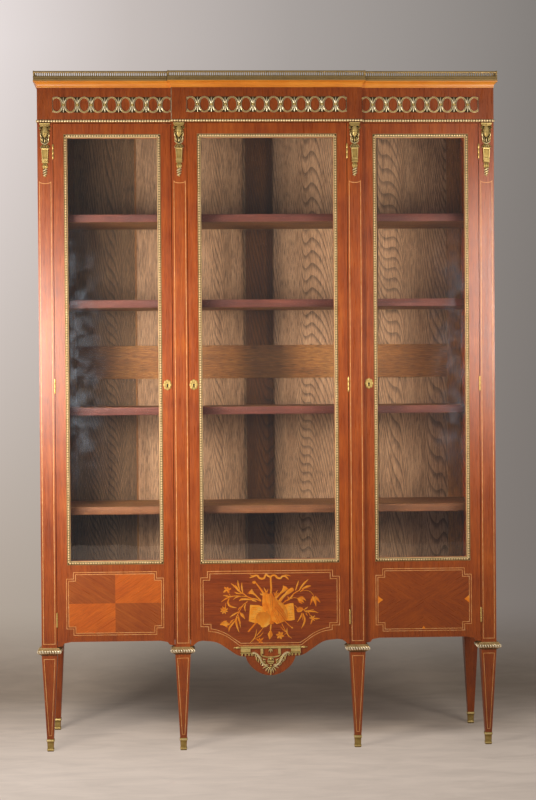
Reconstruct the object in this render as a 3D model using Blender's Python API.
# Display cabinet with a projecting middle section, three glazed doors and gilt mounts.
# Metres, +Z up. The front faces -Y, the middle of the footprint is at X = 0, Y = 0 and
# the feet stand on Z = 0.

import math

import bmesh
import bpy
from mathutils import Matrix, Vector

for old_object in list(bpy.data.objects):
    bpy.data.objects.remove(old_object, do_unlink=True)

parts = bpy.data.collections.new("display_cabinet")
cutters = bpy.data.collections.new("cutters")
bpy.context.scene.collection.children.link(parts)
bpy.context.scene.collection.children.link(cutters)

# Overall sizes
overall_height = 2.050
overall_depth = 0.4235
body_width = 1.380
center_width = 0.576
center_projection = 0.0125
fit_gap = 0.0003
overrun = 0.002
weld_depth = 0.001
merge_distance = 0.00002

# Posts, legs and feet
post_width = 0.046
post_depth = 0.046
leg_height = 0.289
foot_width = 0.017
sabot_height = 0.0375
sabot_width = 0.0225
sabot_floor = 0.003
sabot_lip = 0.0015
sabot_lip_height = 0.005
collar_rise = 0.005
collar_height = 0.022
collar_overhang = 0.015
collar_edge_share = 0.45

# Case
panel_thickness = 0.022
board_thickness = 0.020
frieze_height = 0.106
cornice_height = 0.0197
cornice_projection = 0.011
cornice_seat = 0.012
cornice_cove_share = 0.8
bracket_drop = 0.015
bracket_width = 0.042
bracket_clearance = 0.002

# Gallery on the top
gallery_height = 0.0293
gallery_thickness = 0.0025
gallery_inset = 0.0015
gallery_base = 0.0123
gallery_rail = 0.0070
gallery_pitch = 0.0288
gallery_bar = 0.0110

# Shelves, with each one's underside as a share of the inside height, and the ledges that carry them
shelf_thickness = 0.0235
shelf_setback = 0.075
shelf_height_shares = (
    ("shelf_top", 0.7614),
    ("shelf_upper", 0.6049),
    ("shelf_lower", 0.4086),
    ("shelf_bottom", 0.2266),
)
ledge_width = 0.012
ledge_height = 0.015

# Back: a frame with two panels that are let in from behind
back_thickness = 0.020
back_front_layer = 0.0085
back_panel_thickness = 0.0085
back_stile = 0.045
back_center_stile = 0.105
back_end_rail = 0.090
back_mid_rail = 0.106
back_mid_rail_share = 0.506
back_rebate = 0.008

# Doors
door_gap = 0.0015
door_thickness = 0.022
door_stop_gap = 0.001
side_door_stile = 0.0308
center_door_stile = 0.0295
door_top_rail = 0.0318
lower_panel_height = 0.232
glass_thickness = 0.003
rebate_depth = 0.010
bead_width = 0.0115
bead_proud = 0.0025
apron_drop = 0.1071

# Hinges
hinge_height = 0.044
hinge_inset = 0.0845
hinge_rise = 0.067
knuckle_radius = 0.0023
knuckle_clearance = 0.0005
pin_radius = 0.0012
pin_play = 0.0001
leaf_thickness = 0.0015
leaf_depth = 0.018

# Locks
lock_height_share = 0.4957
escutcheon_width = 0.028
escutcheon_height = 0.035
escutcheon_thickness = 0.003
escutcheon_petals = 8
petal_depth_share = 0.10
keyhole_round_radius = 0.0027
keyhole_slot_width = 0.0032
keyhole_slot_drop = 0.0075
keyhole_depth = 0.012
bolt_length = 0.022
bolt_thickness = 0.006
bolt_height = 0.010
bolt_rise = 0.014
bolt_travel = 0.0075
bolt_recess = 0.0005

# Gilt mounts
frieze_mount_height = 0.049
frieze_mount_rise = 0.030
frieze_mount_thickness = 0.003
frieze_mount_end_gap = 0.0005
frieze_mount_pitch = 0.0413
frieze_waist_share = 0.45
frieze_hole_share = 0.30
post_mount_width = 0.034
post_mount_height = 0.166
post_mount_depth = 0.012
apron_mount_width = 0.226
apron_mount_height = 0.089
apron_mount_depth = 0.008

# Planes and edges that follow from the sizes above
front_edge = -overall_depth / 2
rear_y = overall_depth / 2
center_front = front_edge + collar_overhang
side_front = center_front + center_projection
half_body = body_width / 2
half_center = center_width / 2
gallery_bottom = overall_height - gallery_height
frieze_top = gallery_bottom - cornice_height
frieze_bottom = frieze_top - frieze_height
collar_top = leg_height + collar_rise + collar_height
case_bottom = collar_top + bracket_clearance + bracket_drop
inside_height = frieze_top - case_bottom
door_top = frieze_bottom - door_gap
glass_bottom = case_bottom + lower_panel_height
apron_bottom = case_bottom - apron_drop
lock_height = case_bottom + lock_height_share * (door_top - case_bottom)
shelf_heights = {name: case_bottom + share * inside_height for name, share in shelf_height_shares}
back_mid_rail_middle = case_bottom + back_mid_rail_share * inside_height
outer_post_x = half_body - post_width / 2
inner_post_x = half_center - post_width / 2
outer_post_inside = half_body - post_width
inner_post_inside = half_center - post_width
inner_case_x = half_body - panel_thickness
back_front = rear_y - back_thickness
rear_leg_y = rear_y - post_depth / 2
side_door_stop = side_front + door_thickness + door_stop_gap
center_door_stop = center_front + door_thickness + door_stop_gap

# Colours as written on a screen, with roughness and metallic
finishes = {
    "mahogany": ((0.42, 0.13, 0.05), 0.30, 0.0),
    "kingwood": ((0.50, 0.18, 0.07), 0.32, 0.0),
    "satinwood": ((0.62, 0.27, 0.10), 0.35, 0.0),
    "oak": ((0.30, 0.19, 0.11), 0.60, 0.0),
    "gilt_bronze": ((0.72, 0.53, 0.22), 0.35, 1.0),
    "brass": ((0.75, 0.60, 0.25), 0.30, 1.0),
    "steel": ((0.45, 0.43, 0.40), 0.35, 1.0),
    "glass": ((0.80, 0.85, 0.84), 0.05, 0.0),
}
materials = {}


def material(finish):
    """One Principled material for each finish, made the first time it is asked for."""
    if finish not in materials:
        color, roughness, metallic = finishes[finish]
        made = bpy.data.materials.new(finish)
        made.use_nodes = True
        shader = made.node_tree.nodes["Principled BSDF"]
        shader.inputs["Base Color"].default_value = (*color, 1.0)
        shader.inputs["Roughness"].default_value = roughness
        shader.inputs["Metallic"].default_value = metallic
        if finish == "glass":
            shader.inputs["Transmission Weight"].default_value = 1.0
        made.diffuse_color = (*color, 1.0)
        materials[finish] = made
    return materials[finish]


# Modelling helpers


def add_part(name, mesh, finish):
    """A named object for one physical piece."""
    mesh.materials.clear()
    mesh.materials.append(material(finish))
    piece = bpy.data.objects.new(name, mesh)
    parts.objects.link(piece)
    return piece


def add_tool(mesh, name="tool"):
    """A helper solid that cuts or joins a part."""
    tool = bpy.data.objects.new(name, mesh)
    tool.hide_render = True
    tool.display_type = "WIRE"
    cutters.objects.link(tool)
    return tool


def finish_bmesh(bm, name="shape"):
    """Turn a bmesh into a mesh with its faces pointing out."""
    bmesh.ops.recalc_face_normals(bm, faces=bm.faces)
    mesh = bpy.data.meshes.new(name)
    bm.to_mesh(mesh)
    bm.free()
    return mesh


def box_mesh(low, high):
    """A box between two corners."""
    low, high = Vector(low), Vector(high)
    bm = bmesh.new()
    bmesh.ops.create_cube(bm, size=1)
    bmesh.ops.scale(bm, vec=high - low, verts=bm.verts)
    bmesh.ops.translate(bm, vec=(low + high) / 2, verts=bm.verts)
    return finish_bmesh(bm)


def boxes_mesh(corners):
    """Several boxes that lie apart, in one mesh, for cutting a row of holes."""
    bm = bmesh.new()
    for low, high in corners:
        low, high = Vector(low), Vector(high)
        made = bmesh.ops.create_cube(bm, size=1)["verts"]
        bmesh.ops.scale(bm, vec=high - low, verts=made)
        bmesh.ops.translate(bm, vec=(low + high) / 2, verts=made)
    return finish_bmesh(bm)


def rod_mesh(center, radius, height, sides=16):
    """An upright cylinder about a middle point."""
    bm = bmesh.new()
    bmesh.ops.create_cone(bm, cap_ends=True, segments=sides, radius1=radius, radius2=radius, depth=height)
    bmesh.ops.translate(bm, vec=Vector(center), verts=bm.verts)
    return finish_bmesh(bm)


def ball_mesh(center, radii, rings=8, sides=12):
    """An ellipsoid about a middle point."""
    bm = bmesh.new()
    bmesh.ops.create_uvsphere(bm, u_segments=sides, v_segments=rings, radius=1)
    bmesh.ops.scale(bm, vec=Vector(radii), verts=bm.verts)
    bmesh.ops.translate(bm, vec=Vector(center), verts=bm.verts)
    return finish_bmesh(bm)


def tapered_mesh(high, low, top_width, bottom_width, depth):
    """A block in front of the plane y = 0 whose width changes from its top to its bottom."""
    bm = bmesh.new()
    bmesh.ops.create_cube(bm, size=1)
    bmesh.ops.scale(bm, vec=(top_width, depth, high - low), verts=bm.verts)
    bmesh.ops.translate(bm, vec=(0, -depth / 2, (high + low) / 2), verts=bm.verts)
    bottom = min(bm.faces, key=lambda face: face.calc_center_median().z)
    bmesh.ops.scale(bm, vec=(bottom_width / top_width, 1, 1), verts=bottom.verts)
    return finish_bmesh(bm)


def place(mesh, offset):
    """Move a mesh's points."""
    mesh.transform(Matrix.Translation(Vector(offset)))
    return mesh


upright_facing_front = Matrix(((1, 0, 0, 0), (0, 0, -1, 0), (0, 1, 0, 0), (0, 0, 0, 1)))
upright_facing_side = Matrix(((0, 0, 1, 0), (1, 0, 0, 0), (0, 1, 0, 0), (0, 0, 0, 1)))
lying_flat = Matrix.Identity(4)


def flat_mesh(outlines, thickness, turn):
    """A plate cut to an outline, with the later outlines as holes, centred on its plane.

    Each outline is a list of points; a point may carry "smooth" as a third value.
    """
    curve = bpy.data.curves.new("outline", "CURVE")
    curve.dimensions = "2D"
    curve.fill_mode = "BOTH"
    curve.extrude = thickness / 2
    curve.resolution_u = 4
    for points in outlines:
        spline = curve.splines.new("BEZIER")
        spline.bezier_points.add(len(points) - 1)
        for bezier, point in zip(spline.bezier_points, points):
            bezier.co = (point[0], point[1], 0)
            handle = "AUTO" if len(point) > 2 else "VECTOR"
            bezier.handle_left_type = handle
            bezier.handle_right_type = handle
        spline.use_cyclic_u = True
        straight = not any(len(point) > 2 for point in points)
        spline.resolution_u = 1 if straight else curve.resolution_u
    plate = bpy.data.objects.new("outline", curve)
    cutters.objects.link(plate)
    bpy.context.view_layer.update()
    mesh = bpy.data.meshes.new_from_object(plate.evaluated_get(bpy.context.evaluated_depsgraph_get()))
    bpy.data.objects.remove(plate)
    bm = bmesh.new()
    bm.from_mesh(mesh)
    bmesh.ops.remove_doubles(bm, verts=bm.verts, dist=merge_distance)
    bmesh.ops.dissolve_degenerate(bm, dist=merge_distance, edges=bm.edges)
    bmesh.ops.transform(bm, matrix=turn, verts=bm.verts)
    return finish_bmesh(bm)


def combine(mesh, tool_meshes, operation):
    """Cut the tools out of a mesh, or join them to it, one after another."""
    target = add_tool(mesh, "target")
    tools = [add_tool(tool_mesh) for tool_mesh in tool_meshes]
    for tool in tools:
        step = target.modifiers.new(operation.lower(), "BOOLEAN")
        step.operation = operation
        step.solver = "EXACT"
        step.object = tool
    bpy.context.view_layer.update()
    result = bpy.data.meshes.new_from_object(target.evaluated_get(bpy.context.evaluated_depsgraph_get()))
    bpy.data.objects.remove(target)
    for tool in tools:
        bpy.data.objects.remove(tool)
    return result


def cut(mesh, tool_meshes):
    return combine(mesh, tool_meshes, "DIFFERENCE")


def join(mesh, tool_meshes):
    return combine(mesh, tool_meshes, "UNION")


def swept_mesh(profile, path, closed):
    """A moulding: a closed profile of (outset, z) points carried along a path with mitred corners.

    path(outset) gives the same corners for any outset, so each profile point makes one run.
    """
    runs = [[(x, y, z) for x, y in path(outset)] for outset, z in profile]
    bm = bmesh.new()
    rows = [[bm.verts.new(point) for point in run] for run in runs]
    corners = len(rows[0])
    for index, row in enumerate(rows):
        following = rows[(index + 1) % len(rows)]
        for corner in range(corners if closed else corners - 1):
            ahead = (corner + 1) % corners
            bm.faces.new((row[corner], row[ahead], following[ahead], following[corner]))
    if not closed:
        bm.faces.new([row[0] for row in rows])
        bm.faces.new([row[-1] for row in reversed(rows)])
    return finish_bmesh(bm)


def case_path(outset):
    """The case's plan from the left rear corner round the front to the right rear corner."""
    half = [
        (half_body + outset, rear_y),
        (half_body + outset, side_front - outset),
        (half_center + outset, side_front - outset),
        (half_center + outset, center_front - outset),
    ]
    return [(-x, y) for x, y in half] + [(x, y) for x, y in reversed(half)]


def square_path(half_width, half_depth):
    """A path round a rectangle about the origin."""

    def path(outset):
        x, y = half_width + outset, half_depth + outset
        return [(-x, -y), (x, -y), (x, y), (-x, y)]

    return path


def carry(piece, empty):
    """Parent a piece to an empty without moving it."""
    piece.parent = empty
    piece.matrix_parent_inverse = Matrix.Translation(empty.location).inverted()


def joint_empty(name, location):
    """An empty on a joint's axis."""
    empty = bpy.data.objects.new(name, None)
    empty.location = location
    parts.objects.link(empty)
    return empty


# Legs: every post is a square stile that tapers below the case


def leg_mesh(top_z, clearance=0.0):
    """A stile over a tapered leg about the origin, grown by a clearance all round."""
    foot_z = sabot_floor + fit_gap - clearance
    bm = bmesh.new()
    bmesh.ops.create_cube(bm, size=1)
    width = post_width + 2 * clearance
    bmesh.ops.scale(bm, vec=(width, post_depth + 2 * clearance, top_z - leg_height), verts=bm.verts)
    bmesh.ops.translate(bm, vec=(0, 0, (top_z + leg_height) / 2), verts=bm.verts)
    bottom = min(bm.faces, key=lambda face: face.calc_center_median().z)
    foot = bmesh.ops.extrude_discrete_faces(bm, faces=[bottom])["faces"][0]
    foot_share = (foot_width + 2 * clearance) / width
    bmesh.ops.scale(bm, vec=(foot_share, foot_share, 1), verts=foot.verts)
    bmesh.ops.translate(bm, vec=(0, 0, foot_z - leg_height), verts=foot.verts)
    return finish_bmesh(bm)


# Hinges: the fixed half grows out of the post and holds the pin, the door's half turns on it

knuckle_gap = fit_gap
knuckle_length = (hinge_height - 2 * knuckle_gap) / 3
axis_forward = knuckle_radius + knuckle_clearance
leaf_reach = door_gap / 2 + leaf_thickness
middle_hinge = (door_top - hinge_inset + case_bottom + hinge_rise) / 2
hinge_levels = {
    "top": door_top - hinge_inset,
    "middle": middle_hinge,
    "bottom": case_bottom + hinge_rise,
}


def fixed_hinge_meshes(axis_x, front, side):
    """Pins, outer knuckles and lugs of one door's hinges; side is +1 where the door lies at +X."""
    axis_y = front - axis_forward
    made = []
    for level in hinge_levels.values():
        offset = (hinge_height - knuckle_length) / 2
        for shift in (-offset, offset):
            z = level + shift
            made.append(rod_mesh((axis_x, axis_y, z), knuckle_radius, knuckle_length))
            near, far = axis_x - side * door_gap / 2, axis_x - side * leaf_reach
            low = (min(near, far), axis_y, z - knuckle_length / 2)
            high = (max(near, far), front + weld_depth, z + knuckle_length / 2)
            made.append(box_mesh(low, high))
        made.append(rod_mesh((axis_x, axis_y, level), pin_radius, hinge_height - 2 * knuckle_gap))
    return made


def door_hinge_mesh(side):
    """A door's half of a hinge about its axis: a leaf, a tongue and the middle knuckle."""
    near, far = side * door_gap / 2, side * leaf_reach
    low_x, high_x = min(near, far), max(near, far)
    leaf = box_mesh(
        (low_x, axis_forward, -hinge_height / 2),
        (high_x, axis_forward + leaf_depth, hinge_height / 2),
    )
    tongue = box_mesh(
        (low_x, 0, -knuckle_length / 2),
        (high_x, axis_forward + weld_depth, knuckle_length / 2),
    )
    knuckle = rod_mesh((0, 0, 0), knuckle_radius, knuckle_length)
    bore = rod_mesh((0, 0, 0), pin_radius + pin_play, knuckle_length + 2 * overrun)
    return cut(join(leaf, [tongue, knuckle]), [bore])


# Doors: where each one's edges, hinges and lock lie. side is +1 where the door lies at +X of its hinge

door_specs = {
    "left": {
        "low_x": -(outer_post_inside - door_gap),
        "high_x": -(half_center + door_gap),
        "front": side_front,
        "side": 1,
        "stile": side_door_stile,
    },
    "center": {
        "low_x": -(inner_post_inside - door_gap),
        "high_x": inner_post_inside - door_gap,
        "front": center_front,
        "side": -1,
        "stile": center_door_stile,
    },
    "right": {
        "low_x": half_center + door_gap,
        "high_x": outer_post_inside - door_gap,
        "front": side_front,
        "side": -1,
        "stile": side_door_stile,
    },
}
for spec in door_specs.values():
    hinge_edge = spec["low_x"] if spec["side"] > 0 else spec["high_x"]
    spec["lock_edge"] = spec["high_x"] if spec["side"] > 0 else spec["low_x"]
    spec["axis_x"] = hinge_edge - spec["side"] * door_gap / 2
    spec["lock_x"] = spec["lock_edge"] - spec["side"] * spec["stile"] / 2

bolt_z = lock_height + bolt_rise


def mortise_mesh(spec, start_inset, end_outset):
    """A slot for a lock bolt, from inside the door's edge to a place past it."""
    middle_y = spec["front"] + door_thickness / 2
    start = spec["lock_edge"] - spec["side"] * start_inset
    end = spec["lock_edge"] + spec["side"] * end_outset
    half_thickness = bolt_thickness / 2 + fit_gap
    half_height = bolt_height / 2 + fit_gap
    low = (min(start, end), middle_y - half_thickness, bolt_z - half_height)
    high = (max(start, end), middle_y + half_thickness, bolt_z + half_height)
    return box_mesh(low, high)


# Posts


def build_posts():
    """Four front posts; each carries the fixed halves of its door's hinges and its bolt mortises."""
    places = {
        "post_outer_left": (-outer_post_x, side_front),
        "post_inner_left": (-inner_post_x, center_front),
        "post_inner_right": (inner_post_x, center_front),
        "post_outer_right": (outer_post_x, side_front),
    }
    hinged_doors = {
        "post_outer_left": "left",
        "post_inner_right": "center",
        "post_outer_right": "right",
    }
    locked_doors = {
        "post_inner_left": ("left", "center"),
        "post_inner_right": ("right",),
    }
    bolt_reach = door_gap + bolt_travel + fit_gap
    for name, (x, front) in places.items():
        mesh = place(leg_mesh(frieze_bottom - fit_gap), (x, front + post_depth / 2, 0))
        mortises = []
        for door in locked_doors.get(name, ()):
            mortises.append(mortise_mesh(door_specs[door], 0, bolt_reach))
        if mortises:
            mesh = cut(mesh, mortises)
        if name in hinged_doors:
            spec = door_specs[hinged_doors[name]]
            mesh = join(mesh, fixed_hinge_meshes(spec["axis_x"], spec["front"], spec["side"]))
        add_part(name, mesh, "kingwood")


def build_collars():
    """Gadrooned collars at the top of the four front legs: a half-round band round each post."""
    half_post = post_width / 2
    bottom = leg_height + collar_rise
    steps = 6
    profile = [(fit_gap, bottom)]
    for step in range(steps + 1):
        angle = math.pi * (step / steps - 0.5)
        reach = collar_overhang * (collar_edge_share + (1 - collar_edge_share) * math.cos(angle))
        profile.append((reach, bottom + collar_height * (1 + math.sin(angle)) / 2))
    profile.append((fit_gap, bottom + collar_height))
    mesh = swept_mesh(profile, square_path(half_post, post_depth / 2), True)
    places = {
        "leg_collar_outer_left": (-outer_post_x, side_front),
        "leg_collar_inner_left": (-inner_post_x, center_front),
        "leg_collar_inner_right": (inner_post_x, center_front),
        "leg_collar_outer_right": (outer_post_x, side_front),
    }
    for name, (x, front) in places.items():
        collar = add_part(name, mesh, "gilt_bronze")
        collar.location = (x, front + post_depth / 2, 0)


def build_sabots():
    """Cast feet: a cup round the end of each leg with a lip on top."""
    bm = bmesh.new()
    bmesh.ops.create_cube(bm, size=1)
    body_height = sabot_height - sabot_lip_height
    bmesh.ops.scale(bm, vec=(sabot_width, sabot_width, body_height), verts=bm.verts)
    bmesh.ops.translate(bm, vec=(0, 0, body_height / 2), verts=bm.verts)
    top = max(bm.faces, key=lambda face: face.calc_center_median().z)
    lip_share = (sabot_width + 2 * sabot_lip) / sabot_width
    for rise, share in ((sabot_lip_height / 2, lip_share), (sabot_lip_height / 2, 1 / lip_share)):
        top = bmesh.ops.extrude_discrete_faces(bm, faces=[top])["faces"][0]
        bmesh.ops.scale(bm, vec=(share, share, 1), verts=top.verts)
        bmesh.ops.translate(bm, vec=(0, 0, rise), verts=top.verts)
    mesh = cut(finish_bmesh(bm), [leg_mesh(frieze_bottom, fit_gap)])
    places = {
        "sabot_outer_left": (-outer_post_x, side_front + post_depth / 2),
        "sabot_inner_left": (-inner_post_x, center_front + post_depth / 2),
        "sabot_inner_right": (inner_post_x, center_front + post_depth / 2),
        "sabot_outer_right": (outer_post_x, side_front + post_depth / 2),
        "sabot_rear_left": (-outer_post_x, rear_leg_y),
        "sabot_rear_right": (outer_post_x, rear_leg_y),
    }
    for name, (x, y) in places.items():
        sabot = add_part(name, mesh, "gilt_bronze")
        sabot.location = (x, y, 0)


# Sides


bracket_shares = ((0.0, 1.0), (0.36, 0.80), (0.50, 0.27), (1.0, 0.0))


def bracket_points(edge, inward):
    """The small bracket at a bottom corner, from its edge inwards; inward is +1 or -1."""
    return [
        (edge + inward * across * bracket_width, case_bottom - down * bracket_drop)
        for across, down in bracket_shares
    ]


def build_sides():
    """Each side: a panel with a shaped bottom edge, the rear leg, and ledges for the shelves."""
    front = side_front + post_depth + fit_gap
    rear = rear_y - post_depth + weld_depth
    top = frieze_bottom - fit_gap
    outline = bracket_points(front, 1) + list(reversed(bracket_points(rear - weld_depth, -1)))
    outline += [(rear, case_bottom - bracket_drop), (rear, top), (front, top)]
    ledge_front = side_front + shelf_setback + ledge_width
    for name, sign in (("side_left", -1), ("side_right", 1)):
        ledge_left, ledge_right = sorted(
            (sign * (inner_case_x - ledge_width), sign * (inner_case_x + weld_depth))
        )
        ledge_boxes = []
        for height in shelf_heights.values():
            low = (ledge_left, ledge_front, height - fit_gap - ledge_height)
            ledge_boxes.append((low, (ledge_right, rear, height - fit_gap)))
        panel = flat_mesh([outline], panel_thickness, upright_facing_side)
        place(panel, (sign * (half_body - panel_thickness / 2), 0, 0))
        leg = place(leg_mesh(top), (sign * outer_post_x, rear_leg_y, 0))
        add_part(name, join(panel, [leg, boxes_mesh(ledge_boxes)]), "mahogany")


# Bottom, top, frieze, cornice and gallery


def build_bottom_board():
    """The bottom of the case, notched round the posts and behind the doors."""
    side_x = inner_case_x - fit_gap
    outer_notch = outer_post_inside - fit_gap
    inner_notch_out = half_center + fit_gap
    inner_notch_in = inner_post_inside - fit_gap
    outer_back = side_front + post_depth + fit_gap
    inner_back = center_front + post_depth + fit_gap
    rear_x = outer_post_inside - fit_gap
    rear_notch = rear_y - post_depth - fit_gap
    half = [
        (rear_x, back_front - fit_gap),
        (rear_x, rear_notch),
        (side_x, rear_notch),
        (side_x, outer_back),
        (outer_notch, outer_back),
        (outer_notch, side_door_stop),
        (inner_notch_out, side_door_stop),
        (inner_notch_out, inner_back),
        (inner_notch_in, inner_back),
        (inner_notch_in, center_door_stop),
    ]
    outline = [(-x, y) for x, y in half] + [(x, y) for x, y in reversed(half)]
    mesh = place(flat_mesh([outline], board_thickness, lying_flat), (0, 0, case_bottom + board_thickness / 2))
    add_part("bottom_board", mesh, "oak")


def build_frieze():
    """The frieze: three sides of board with thicker blocks at the rear corners."""
    inner = [(x, y) for x, y in case_path(-panel_thickness)]
    block_x = half_body - post_width
    block_y = rear_y - post_depth
    inner_left = [(-block_x, rear_y), (-block_x, block_y), (inner[0][0], block_y)]
    inner_right = [(-x, y) for x, y in reversed(inner_left)]
    ring = case_path(0.0) + inner_right + list(reversed(inner[1:-1])) + inner_left[::-1]
    height = frieze_height - fit_gap
    mesh = flat_mesh([ring], height, lying_flat)
    add_part("frieze", place(mesh, (0, 0, frieze_bottom + height / 2)), "mahogany")


def build_cornice():
    """The cornice: a hollow moulding that spreads from the frieze up to the gallery."""
    low, high = frieze_top, gallery_bottom
    steps = 6
    profile = [(-cornice_seat, low)]
    for step in range(steps + 1):
        angle = math.pi / 2 * step / steps
        rise = cornice_height * cornice_cove_share * math.sin(angle)
        profile.append((cornice_projection * (1 - math.cos(angle)), low + rise))
    profile += [(cornice_projection, high), (-cornice_seat, high)]
    add_part("cornice", swept_mesh(profile, case_path, False), "satinwood")


def build_top_board():
    """The top, inside the cornice and resting on the frieze."""
    mesh = flat_mesh([case_path(-cornice_seat - fit_gap)], cornice_height, lying_flat)
    add_part("top_board", place(mesh, (0, 0, frieze_top + cornice_height / 2)), "mahogany")


def slots_between(start, end):
    """Even slots with a bar between them, as (low, high) along one run of the gallery."""
    count = max(int((end - start - gallery_bar) / gallery_pitch), 1)
    pitch = (end - start - gallery_bar) / count
    width = pitch - gallery_bar
    return [(start + gallery_bar + pitch * i, start + gallery_bar + pitch * i + width) for i in range(count)]


def build_gallery():
    """The pierced gallery round three sides of the top."""
    outside = cornice_projection - gallery_inset
    inside = outside - gallery_thickness
    low, high = gallery_bottom + fit_gap, overall_height
    profile = [(outside, low), (outside, high), (inside, high), (inside, low)]
    slot_low = gallery_bottom + gallery_base
    slot_high = overall_height - gallery_rail
    side_x, center_x = half_body + outside, half_center + outside
    front_runs = (
        (-side_x, -center_x - gallery_thickness, side_front),
        (-center_x, center_x, center_front),
        (center_x + gallery_thickness, side_x, side_front),
    )
    slots = []
    for start, end, face in front_runs:
        y = face - outside
        for left, right in slots_between(start, end):
            slots.append(((left, y - overrun, slot_low), (right, y + gallery_thickness + overrun, slot_high)))
    for front, back in slots_between(side_front - outside, rear_y):
        for sign in (-1, 1):
            reach = sorted((sign * (side_x + overrun), sign * (side_x - gallery_thickness - overrun)))
            slots.append(((reach[0], front, slot_low), (reach[1], back, slot_high)))
    mesh = cut(swept_mesh(profile, case_path, False), [boxes_mesh(slots)])
    add_part("gallery", mesh, "brass")


# Back and shelves


def build_back():
    """A framed back with a middle rail, and two panels that run behind that rail."""
    half_width = outer_post_inside - fit_gap
    low, high = case_bottom, frieze_top - fit_gap
    frame = box_mesh((-half_width, back_front, low), (half_width, rear_y, high))
    split = back_front + back_front_layer
    inner_x, outer_x = back_center_stile / 2, half_width - back_stile
    openings = []
    rebates = []
    for sign in (-1, 1):
        left, right = sorted((sign * inner_x, sign * outer_x))
        for bottom, top in (
            (low + back_end_rail, back_mid_rail_middle - back_mid_rail / 2),
            (back_mid_rail_middle + back_mid_rail / 2, high - back_end_rail),
        ):
            openings.append(box_mesh((left, back_front - overrun, bottom), (right, split + weld_depth, top)))
        rebate_low = (left - back_rebate, split, low + back_end_rail - back_rebate)
        rebate_high = (right + back_rebate, rear_y + overrun, high - back_end_rail + back_rebate)
        rebates.append(box_mesh(rebate_low, rebate_high))
    add_part("back_frame", cut(frame, rebates + openings), "oak")
    for name, sign in (("back_panel_left", -1), ("back_panel_right", 1)):
        left, right = sorted((sign * inner_x, sign * outer_x))
        edge = back_rebate - fit_gap
        panel_low = (left - edge, split + fit_gap, low + back_end_rail - edge)
        panel_high = (right + edge, split + fit_gap + back_panel_thickness, high - back_end_rail + edge)
        add_part(name, box_mesh(panel_low, panel_high), "oak")


def build_shelves():
    """Four shelves across the whole case, notched round the rear posts."""
    side_x = inner_case_x - fit_gap
    rear_x = outer_post_inside - fit_gap
    rear_notch = rear_y - post_depth - fit_gap
    front = side_front + shelf_setback
    half = [(rear_x, back_front - fit_gap), (rear_x, rear_notch), (side_x, rear_notch), (side_x, front)]
    outline = [(-x, y) for x, y in half] + [(x, y) for x, y in reversed(half)]
    mesh = flat_mesh([outline], shelf_thickness, lying_flat)
    for name, height in shelf_heights.items():
        shelf = add_part(name, mesh, "oak")
        shelf.location = (0, 0, height + shelf_thickness / 2)


# Doors


apron_shares = (
    (1.000, 0.862),
    (0.970, 0.862),
    (0.943, 0.925),
    (0.909, 0.978),
    (0.848, 1.000, "smooth"),
    (0.675, 0.944, "smooth"),
    (0.537, 0.757, "smooth"),
    (0.400, 0.566, "smooth"),
    (0.313, 0.532),
    (0.296, 0.419, "smooth"),
    (0.210, 0.182, "smooth"),
    (0.072, 0.018, "smooth"),
    (0.000, 0.000, "smooth"),
)


def apron_points(half_width):
    """The middle door's bottom edge from its left end to its right end."""
    depth = case_bottom - apron_bottom
    right = [(x * half_width, apron_bottom + z * depth, *kind) for x, z, *kind in apron_shares]
    left = [(-x, z, *kind) for x, z, *kind in right[:-1]]
    return left + list(reversed(right))


def door_outline(name, spec):
    """A door's outline, with the brackets of a side door or the apron of the middle one."""
    low_x, high_x = spec["low_x"], spec["high_x"]
    if name == "center":
        bottom = apron_points(high_x)
    else:
        bottom = bracket_points(low_x, 1) + list(reversed(bracket_points(high_x, -1)))
    return bottom + [(high_x, door_top), (low_x, door_top)]


keyhole_round_shares = tuple(
    (math.sin(math.radians(turn)), math.cos(math.radians(turn))) for turn in range(-150, 151, 30)
)


def keyhole_outline(x, z):
    """A round hole over a slot."""
    rounded = [
        (x + across * keyhole_round_radius, z + up * keyhole_round_radius)
        for across, up in keyhole_round_shares
    ]
    half_slot = keyhole_slot_width / 2
    slot = [(x + half_slot, z - keyhole_slot_drop), (x - half_slot, z - keyhole_slot_drop)]
    rounded[0] = (x - half_slot, rounded[0][1])
    rounded[-1] = (x + half_slot, rounded[-1][1])
    return rounded + slot


def build_door_frame(name, spec):
    """A door as one veneered slab, cut for the glass, the hinges, the keyhole and the bolt."""
    front = spec["front"]
    slab = flat_mesh([door_outline(name, spec)], door_thickness, upright_facing_front)
    place(slab, (0, front + door_thickness / 2, 0))
    left, right = spec["low_x"] + spec["stile"], spec["high_x"] - spec["stile"]
    bottom, top = glass_bottom, door_top - door_top_rail
    rebate = box_mesh((left, front - overrun, bottom), (right, front + rebate_depth, top))
    sight_low = (left + bead_width, front, bottom + bead_width)
    sight_high = (right - bead_width, front + door_thickness + overrun, top - bead_width)
    tools = [rebate, box_mesh(sight_low, sight_high)]
    for level in hinge_levels.values():
        outside = spec["axis_x"]
        inside = outside + spec["side"] * (leaf_reach + fit_gap)
        half_height = hinge_height / 2 + fit_gap
        low = (min(outside, inside), front - overrun, level - half_height)
        high = (max(outside, inside), front + leaf_depth + fit_gap, level + half_height)
        tools.append(box_mesh(low, high))
    hole = keyhole_outline(spec["lock_x"], lock_height)
    tools.append(place(flat_mesh([hole], 2 * keyhole_depth, upright_facing_front), (0, front, 0)))
    tools.append(mortise_mesh(spec, bolt_length + bolt_recess + fit_gap, overrun))
    return add_part("door_frame_" + name, cut(slab, tools), "kingwood")


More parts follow.
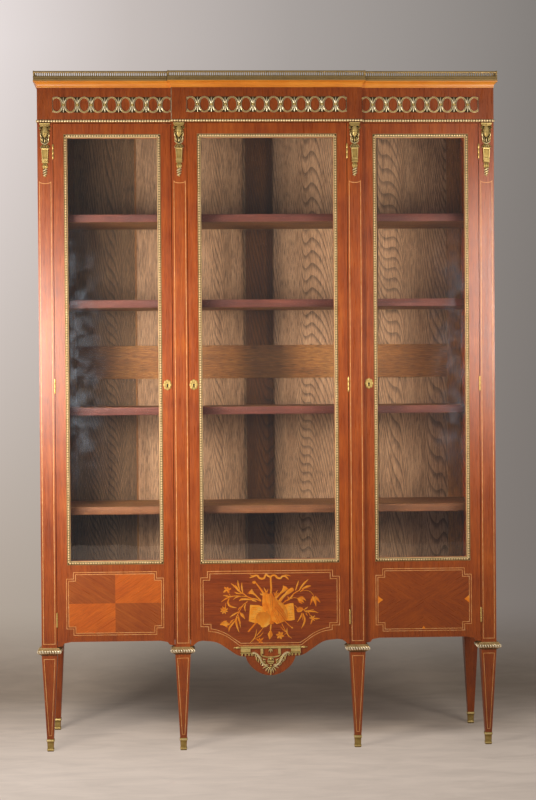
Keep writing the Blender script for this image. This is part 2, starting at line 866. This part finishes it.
def build_glazing(name, spec):
    """The pane and the gilt bead frame that holds it in the rebate."""
    front = spec["front"]
    left, right = spec["low_x"] + spec["stile"] + fit_gap, spec["high_x"] - spec["stile"] - fit_gap
    bottom, top = glass_bottom + fit_gap, door_top - door_top_rail - fit_gap
    pane_back = front + rebate_depth - fit_gap
    pane = box_mesh((left, pane_back - glass_thickness, bottom), (right, pane_back, top))
    bead_back = pane_back - glass_thickness - fit_gap
    edge = bead_width - fit_gap
    half_width, half_height = (right - left) / 2, (top - bottom) / 2
    steps = 4
    profile = [(0, -bead_back)]
    for step in range(steps + 1):
        angle = math.pi * step / steps
        outset = -edge * (1 - math.cos(angle)) / 2
        profile.append((outset, -front + bead_proud * math.sin(angle)))
    profile.append((-edge, -bead_back))
    rings = swept_mesh(profile, square_path(half_width, half_height), True)
    rings.transform(upright_facing_front)
    place(rings, ((left + right) / 2, 0, (bottom + top) / 2))
    return [add_part("glass_" + name, pane, "glass"), add_part("bead_frame_" + name, rings, "gilt_bronze")]


def build_lock(name, spec):
    """The escutcheon round the keyhole and the lock's sliding bolt."""
    points = 4 * escutcheon_petals
    rim = []
    for index in range(points):
        angle = 2 * math.pi * index / points
        reach = 1 - petal_depth_share * (1 + math.cos(escutcheon_petals * angle)) / 2
        across = reach * escutcheon_width / 2 * math.cos(angle)
        rim.append((spec["lock_x"] + across, lock_height + reach * escutcheon_height / 2 * math.sin(angle)))
    hole = keyhole_outline(spec["lock_x"], lock_height)
    plate = flat_mesh([rim, hole], escutcheon_thickness, upright_facing_front)
    place(plate, (0, spec["front"] - fit_gap - escutcheon_thickness / 2, 0))
    escutcheon = add_part("escutcheon_" + name, plate, "gilt_bronze")
    middle_y = spec["front"] + door_thickness / 2
    tip = spec["lock_edge"] - spec["side"] * bolt_recess
    tail = tip - spec["side"] * bolt_length
    low = (min(tip, tail), middle_y - bolt_thickness / 2, bolt_z - bolt_height / 2)
    high = (max(tip, tail), middle_y + bolt_thickness / 2, bolt_z + bolt_height / 2)
    bolt = add_part("lock_bolt_" + name, box_mesh(low, high), "steel")
    slide = joint_empty("bolt_slide_" + name, ((tip + tail) / 2, middle_y, bolt_z))
    carry(bolt, slide)
    return escutcheon, slide


def build_doors():
    """Each door with its glass, bead frame, lock and hinge halves, on an empty at its hinge axis."""
    for name, spec in door_specs.items():
        axis = Vector((spec["axis_x"], spec["front"] - axis_forward, middle_hinge))
        swing = joint_empty("door_swing_" + name, axis)
        escutcheon, slide = build_lock(name, spec)
        carried = [build_door_frame(name, spec), *build_glazing(name, spec), escutcheon, slide]
        half_hinge = door_hinge_mesh(spec["side"])
        for level_name, level in hinge_levels.items():
            hinge = add_part("hinge_" + name + "_" + level_name, half_hinge, "brass")
            hinge.location = (axis.x, axis.y, level)
            carried.append(hinge)
        if name == "center":
            carried.append(build_apron_mount())
        for piece in carried:
            carry(piece, swing)


# Gilt mounts


def build_frieze_mounts():
    """Bands of interlaced ovals on the frieze: a scalloped strip pierced once in each oval."""
    steps_per_lobe = 6
    spans = {
        "frieze_mount_left": (-outer_post_inside, -half_center, side_front),
        "frieze_mount_center": (-inner_post_inside, inner_post_inside, center_front),
        "frieze_mount_right": (half_center, outer_post_inside, side_front),
    }
    middle_z = frieze_bottom + frieze_mount_rise + frieze_mount_height / 2
    for name, (left, right, front) in spans.items():
        start = left + frieze_mount_end_gap
        width = right - frieze_mount_end_gap - start
        count = round(width / frieze_mount_pitch)
        pitch = width / count
        top = []
        for index in range(count * steps_per_lobe + 1):
            lobe = index / steps_per_lobe
            bulge = frieze_waist_share + (1 - frieze_waist_share) * abs(math.sin(math.pi * lobe))
            top.append((start + lobe * pitch, frieze_mount_height / 2 * bulge))
        rim = top + [(x, -z) for x, z in reversed(top)]
        outlines = [rim]
        for oval in range(count):
            center = start + (2 * oval + 1) * pitch / 2
            hole = []
            for turn in range(8):
                angle = math.pi * turn / 4
                across = frieze_hole_share * pitch * math.cos(angle)
                hole.append((center + across, frieze_hole_share * frieze_mount_height * math.sin(angle)))
            outlines.append(hole)
        mesh = flat_mesh(outlines, frieze_mount_thickness, upright_facing_front)
        place(mesh, (0, front - fit_gap - frieze_mount_thickness / 2, middle_z))
        add_part(name, mesh, "gilt_bronze")


# Blocks: top, bottom, width at the top, width at the bottom, depth
post_mount_block_shares = (
    (0.00, 0.56, 0.86, 0.58, 0.45),
    (0.00, 0.04, 1.00, 1.00, 0.75),
    (0.54, 0.60, 0.72, 0.66, 0.62),
    (0.58, 0.98, 0.46, 0.16, 0.35),
)
# Rounded forms: drop of the middle, forward place, then half sizes across, in depth and in height
post_mount_round_shares = (
    (0.155, 0.45, 0.36, 0.54, 0.105),
    (0.275, 0.30, 0.46, 0.45, 0.055),
    (0.700, 0.28, 0.26, 0.27, 0.085),
    (0.850, 0.24, 0.20, 0.23, 0.085),
)


def post_mount_mesh():
    """A small mask over a tapered plinth with a pendant, its back on y = 0 and its top at z = 0."""
    width, height, depth = post_mount_width, post_mount_height, post_mount_depth
    pieces = []
    for top, bottom, top_width, bottom_width, forward in post_mount_block_shares:
        widths = (top_width * width, bottom_width * width)
        pieces.append(tapered_mesh(-top * height, -bottom * height, *widths, forward * depth))
    for drop, forward, across, deep, tall in post_mount_round_shares:
        middle = (0, -forward * depth, -drop * height)
        pieces.append(ball_mesh(middle, (across * width, deep * depth, tall * height)))
    behind = box_mesh((-width, 0, -height - overrun), (width, depth, overrun))
    return cut(join(pieces[0], pieces[1:]), [behind])


def build_post_mounts():
    """A mount at the head of each front post."""
    mesh = post_mount_mesh()
    places = {
        "post_mount_outer_left": (-outer_post_x, side_front),
        "post_mount_inner_left": (-inner_post_x, center_front),
        "post_mount_inner_right": (inner_post_x, center_front),
        "post_mount_outer_right": (outer_post_x, side_front),
    }
    for name, (x, front) in places.items():
        mount = add_part(name, mesh, "gilt_bronze")
        mount.location = (x, front - fit_gap, frieze_bottom)


apron_mount_shares = (
    (0.00, 0.00),
    (1.00, 0.00),
    (1.00, 0.08),
    (0.85, 0.10),
    (0.85, 0.32),
    (0.58, 0.33),
    (0.40, 0.45),
    (0.29, 0.60),
    (0.25, 0.76),
    (0.09, 0.90),
    (0.00, 1.00),
)
apron_hole_shares = (
    (0.29, 0.10),
    (0.54, 0.11),
    (0.52, 0.22),
    (0.40, 0.32),
    (0.30, 0.47),
    (0.20, 0.50),
    (0.14, 0.38),
    (0.26, 0.34),
)


def build_apron_mount():
    """The mount at the foot of the middle door: a bar, two tabs and swags down to a leaf."""
    half_width = apron_mount_width / 2
    top = apron_bottom + apron_mount_height
    right = [(x * half_width, top - down * apron_mount_height) for x, down in apron_mount_shares]
    rim = right + [(-x, z) for x, z in reversed(right[1:-1])]
    hole = [(x * half_width, top - down * apron_mount_height) for x, down in apron_hole_shares]
    outlines = [rim, hole, [(-x, z) for x, z in reversed(hole)]]
    mesh = flat_mesh(outlines, apron_mount_depth, upright_facing_front)
    place(mesh, (0, center_front - fit_gap - apron_mount_depth / 2, 0))
    return add_part("apron_mount", mesh, "gilt_bronze")


build_posts()
build_collars()
build_sabots()
build_sides()
build_bottom_board()
build_frieze()
build_cornice()
build_top_board()
build_gallery()
build_back()
build_shelves()
build_doors()
build_frieze_mounts()
build_post_mounts()
